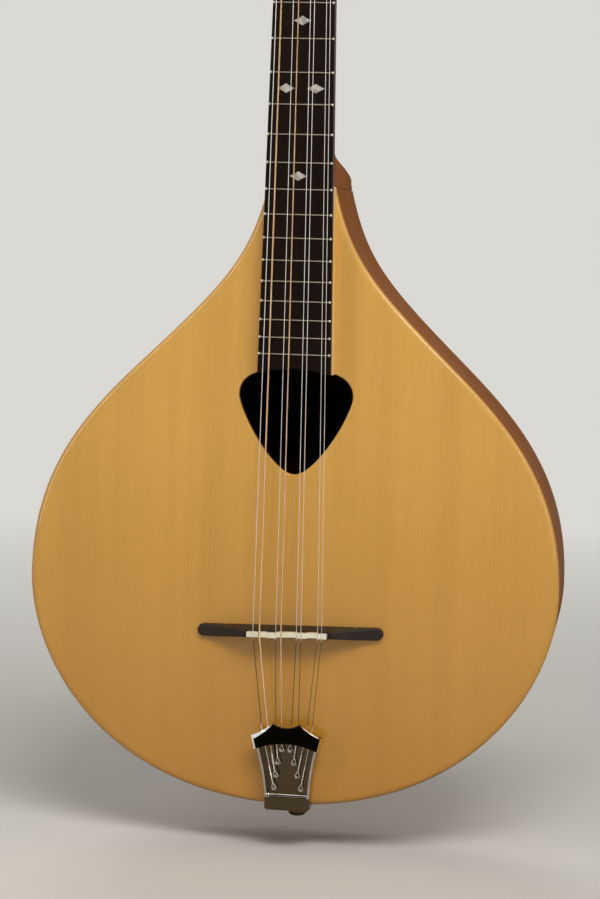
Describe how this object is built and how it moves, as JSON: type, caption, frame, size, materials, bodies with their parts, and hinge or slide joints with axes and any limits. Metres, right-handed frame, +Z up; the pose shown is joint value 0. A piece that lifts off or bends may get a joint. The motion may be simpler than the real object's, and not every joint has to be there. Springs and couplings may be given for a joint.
{
  "type": "irish bouzouki",
  "caption": "Long-necked lute with paired strings, a flat spruce top, a teardrop body, a plectrum-shaped soundhole, a floating bridge, a metal tailpiece and geared tuners.",
  "frame": {"origin": "middle of the nut's lower edge on the fretboard's playing surface, where a yoke hanger carries the neck", "axes": "+Z up the neck towards the headstock, face towards -Y, back towards +Y, treble side towards +X"},
  "size_m": [0.3346, 0.102, 0.9121],
  "materials": {
    "spruce_top": "amber gloss lacquer over straight-grained spruce",
    "mahogany": "red-brown satin lacquer over mahogany",
    "bare_spruce": "bare sanded spruce",
    "ebony": "oiled ebony",
    "bone": "polished bone",
    "polished_nickel": "mirror-polished nickel plate",
    "steel": "bright drawn steel",
    "bronze_wound": "bronze wire winding",
    "black_plastic": "polished black plastic"
  },
  "bodies": {
    "instrument": {"top_plate": "spruce_top", "back_plate": "mahogany", "side_bass": "mahogany", "side_treble": "mahogany", "neck_block": "mahogany", "tail_block": "mahogany", "top_lining_bass": "bare_spruce", "top_lining_treble": "bare_spruce", "back_lining_bass": "bare_spruce", "back_lining_treble": "bare_spruce", "top_x_brace": "bare_spruce", "top_shoulder_brace": "bare_spruce", "back_brace_upper": "bare_spruce", "back_brace_middle": "bare_spruce", "back_brace_lower": "bare_spruce", "neck": "mahogany", "heel_cap": "mahogany", "truss_rod": "steel", "truss_rod_cover": "black_plastic", "headstock_veneer": "ebony", "fretboard": "ebony", "fretboard_riser": "bare_spruce", "nut": "bone", "bridge": "ebony", "saddle": "bone", "tailpiece": "polished_nickel", "end_pin": "polished_nickel", "tuner_plate_bass": "polished_nickel", "tuner_plate_treble": "polished_nickel", "string_1": "steel", "string_2": "bronze_wound", "string_3": "steel", "string_4": "bronze_wound", "string_5": "steel", "string_6": "steel", "string_7": "steel", "string_8": "steel", "truss_cover_screw_1": "steel", "truss_cover_screw_2": "steel", "tuner_plate_screw_1": "steel", "tuner_plate_screw_2": "steel", "tuner_plate_screw_3": "steel", "tuner_plate_screw_4": "steel", "tailpiece_screw": "steel"},
    "key_1": {"tuner_key_1": "polished_nickel"},
    "post_1": {"tuner_post_1": "polished_nickel"},
    "key_2": {"tuner_key_2": "polished_nickel"},
    "post_2": {"tuner_post_2": "polished_nickel"},
    "key_3": {"tuner_key_3": "polished_nickel"},
    "post_3": {"tuner_post_3": "polished_nickel"},
    "key_4": {"tuner_key_4": "polished_nickel"},
    "post_4": {"tuner_post_4": "polished_nickel"},
    "key_5": {"tuner_key_5": "polished_nickel"},
    "post_5": {"tuner_post_5": "polished_nickel"},
    "key_6": {"tuner_key_6": "polished_nickel"},
    "post_6": {"tuner_post_6": "polished_nickel"},
    "key_7": {"tuner_key_7": "polished_nickel"},
    "post_7": {"tuner_post_7": "polished_nickel"},
    "key_8": {"tuner_key_8": "polished_nickel"},
    "post_8": {"tuner_post_8": "polished_nickel"}
  },
  "joints": [
    {"name": "key_turn_1", "type": "hinge", "parent": "instrument", "child": "key_1", "pos_m": [-0.0185, 0.03027, 0.02583], "axis": [1, 0, 0], "continuous": true},
    {"name": "post_turn_1", "type": "hinge", "parent": "instrument", "child": "post_1", "pos_m": [-0.0185, 0.03178, 0.03237], "axis": [0, 0.9744, -0.225], "continuous": true},
    {"name": "key_turn_2", "type": "hinge", "parent": "instrument", "child": "key_2", "pos_m": [-0.0185, 0.03545, 0.04824], "axis": [1, 0, 0], "continuous": true},
    {"name": "post_turn_2", "type": "hinge", "parent": "instrument", "child": "post_2", "pos_m": [-0.0185, 0.03696, 0.05478], "axis": [0, 0.9744, -0.225], "continuous": true},
    {"name": "key_turn_3", "type": "hinge", "parent": "instrument", "child": "key_3", "pos_m": [-0.0185, 0.04062, 0.07065], "axis": [1, 0, 0], "continuous": true},
    {"name": "post_turn_3", "type": "hinge", "parent": "instrument", "child": "post_3", "pos_m": [-0.0185, 0.04213, 0.07719], "axis": [0, 0.9744, -0.225], "continuous": true},
    {"name": "key_turn_4", "type": "hinge", "parent": "instrument", "child": "key_4", "pos_m": [-0.0185, 0.0458, 0.09306], "axis": [1, 0, 0], "continuous": true},
    {"name": "post_turn_4", "type": "hinge", "parent": "instrument", "child": "post_4", "pos_m": [-0.0185, 0.0473, 0.0996], "axis": [0, 0.9744, -0.225], "continuous": true},
    {"name": "key_turn_5", "type": "hinge", "parent": "instrument", "child": "key_5", "pos_m": [0.0185, 0.0458, 0.09306], "axis": [1, 0, 0], "continuous": true},
    {"name": "post_turn_5", "type": "hinge", "parent": "instrument", "child": "post_5", "pos_m": [0.0185, 0.0473, 0.0996], "axis": [0, 0.9744, -0.225], "continuous": true},
    {"name": "key_turn_6", "type": "hinge", "parent": "instrument", "child": "key_6", "pos_m": [0.0185, 0.04062, 0.07065], "axis": [1, 0, 0], "continuous": true},
    {"name": "post_turn_6", "type": "hinge", "parent": "instrument", "child": "post_6", "pos_m": [0.0185, 0.04213, 0.07719], "axis": [0, 0.9744, -0.225], "continuous": true},
    {"name": "key_turn_7", "type": "hinge", "parent": "instrument", "child": "key_7", "pos_m": [0.0185, 0.03545, 0.04824], "axis": [1, 0, 0], "continuous": true},
    {"name": "post_turn_7", "type": "hinge", "parent": "instrument", "child": "post_7", "pos_m": [0.0185, 0.03696, 0.05478], "axis": [0, 0.9744, -0.225], "continuous": true},
    {"name": "key_turn_8", "type": "hinge", "parent": "instrument", "child": "key_8", "pos_m": [0.0185, 0.03027, 0.02583], "axis": [1, 0, 0], "continuous": true},
    {"name": "post_turn_8", "type": "hinge", "parent": "instrument", "child": "post_8", "pos_m": [0.0185, 0.03178, 0.03237], "axis": [0, 0.9744, -0.225], "continuous": true}
  ],
  "couplings": [
    {"joint": "post_turn_1", "follows": "key_turn_1", "ratio": 0.071429},
    {"joint": "post_turn_2", "follows": "key_turn_2", "ratio": 0.071429},
    {"joint": "post_turn_3", "follows": "key_turn_3", "ratio": 0.071429},
    {"joint": "post_turn_4", "follows": "key_turn_4", "ratio": 0.071429},
    {"joint": "post_turn_5", "follows": "key_turn_5", "ratio": 0.071429},
    {"joint": "post_turn_6", "follows": "key_turn_6", "ratio": 0.071429},
    {"joint": "post_turn_7", "follows": "key_turn_7", "ratio": 0.071429},
    {"joint": "post_turn_8", "follows": "key_turn_8", "ratio": 0.071429}
  ]
}
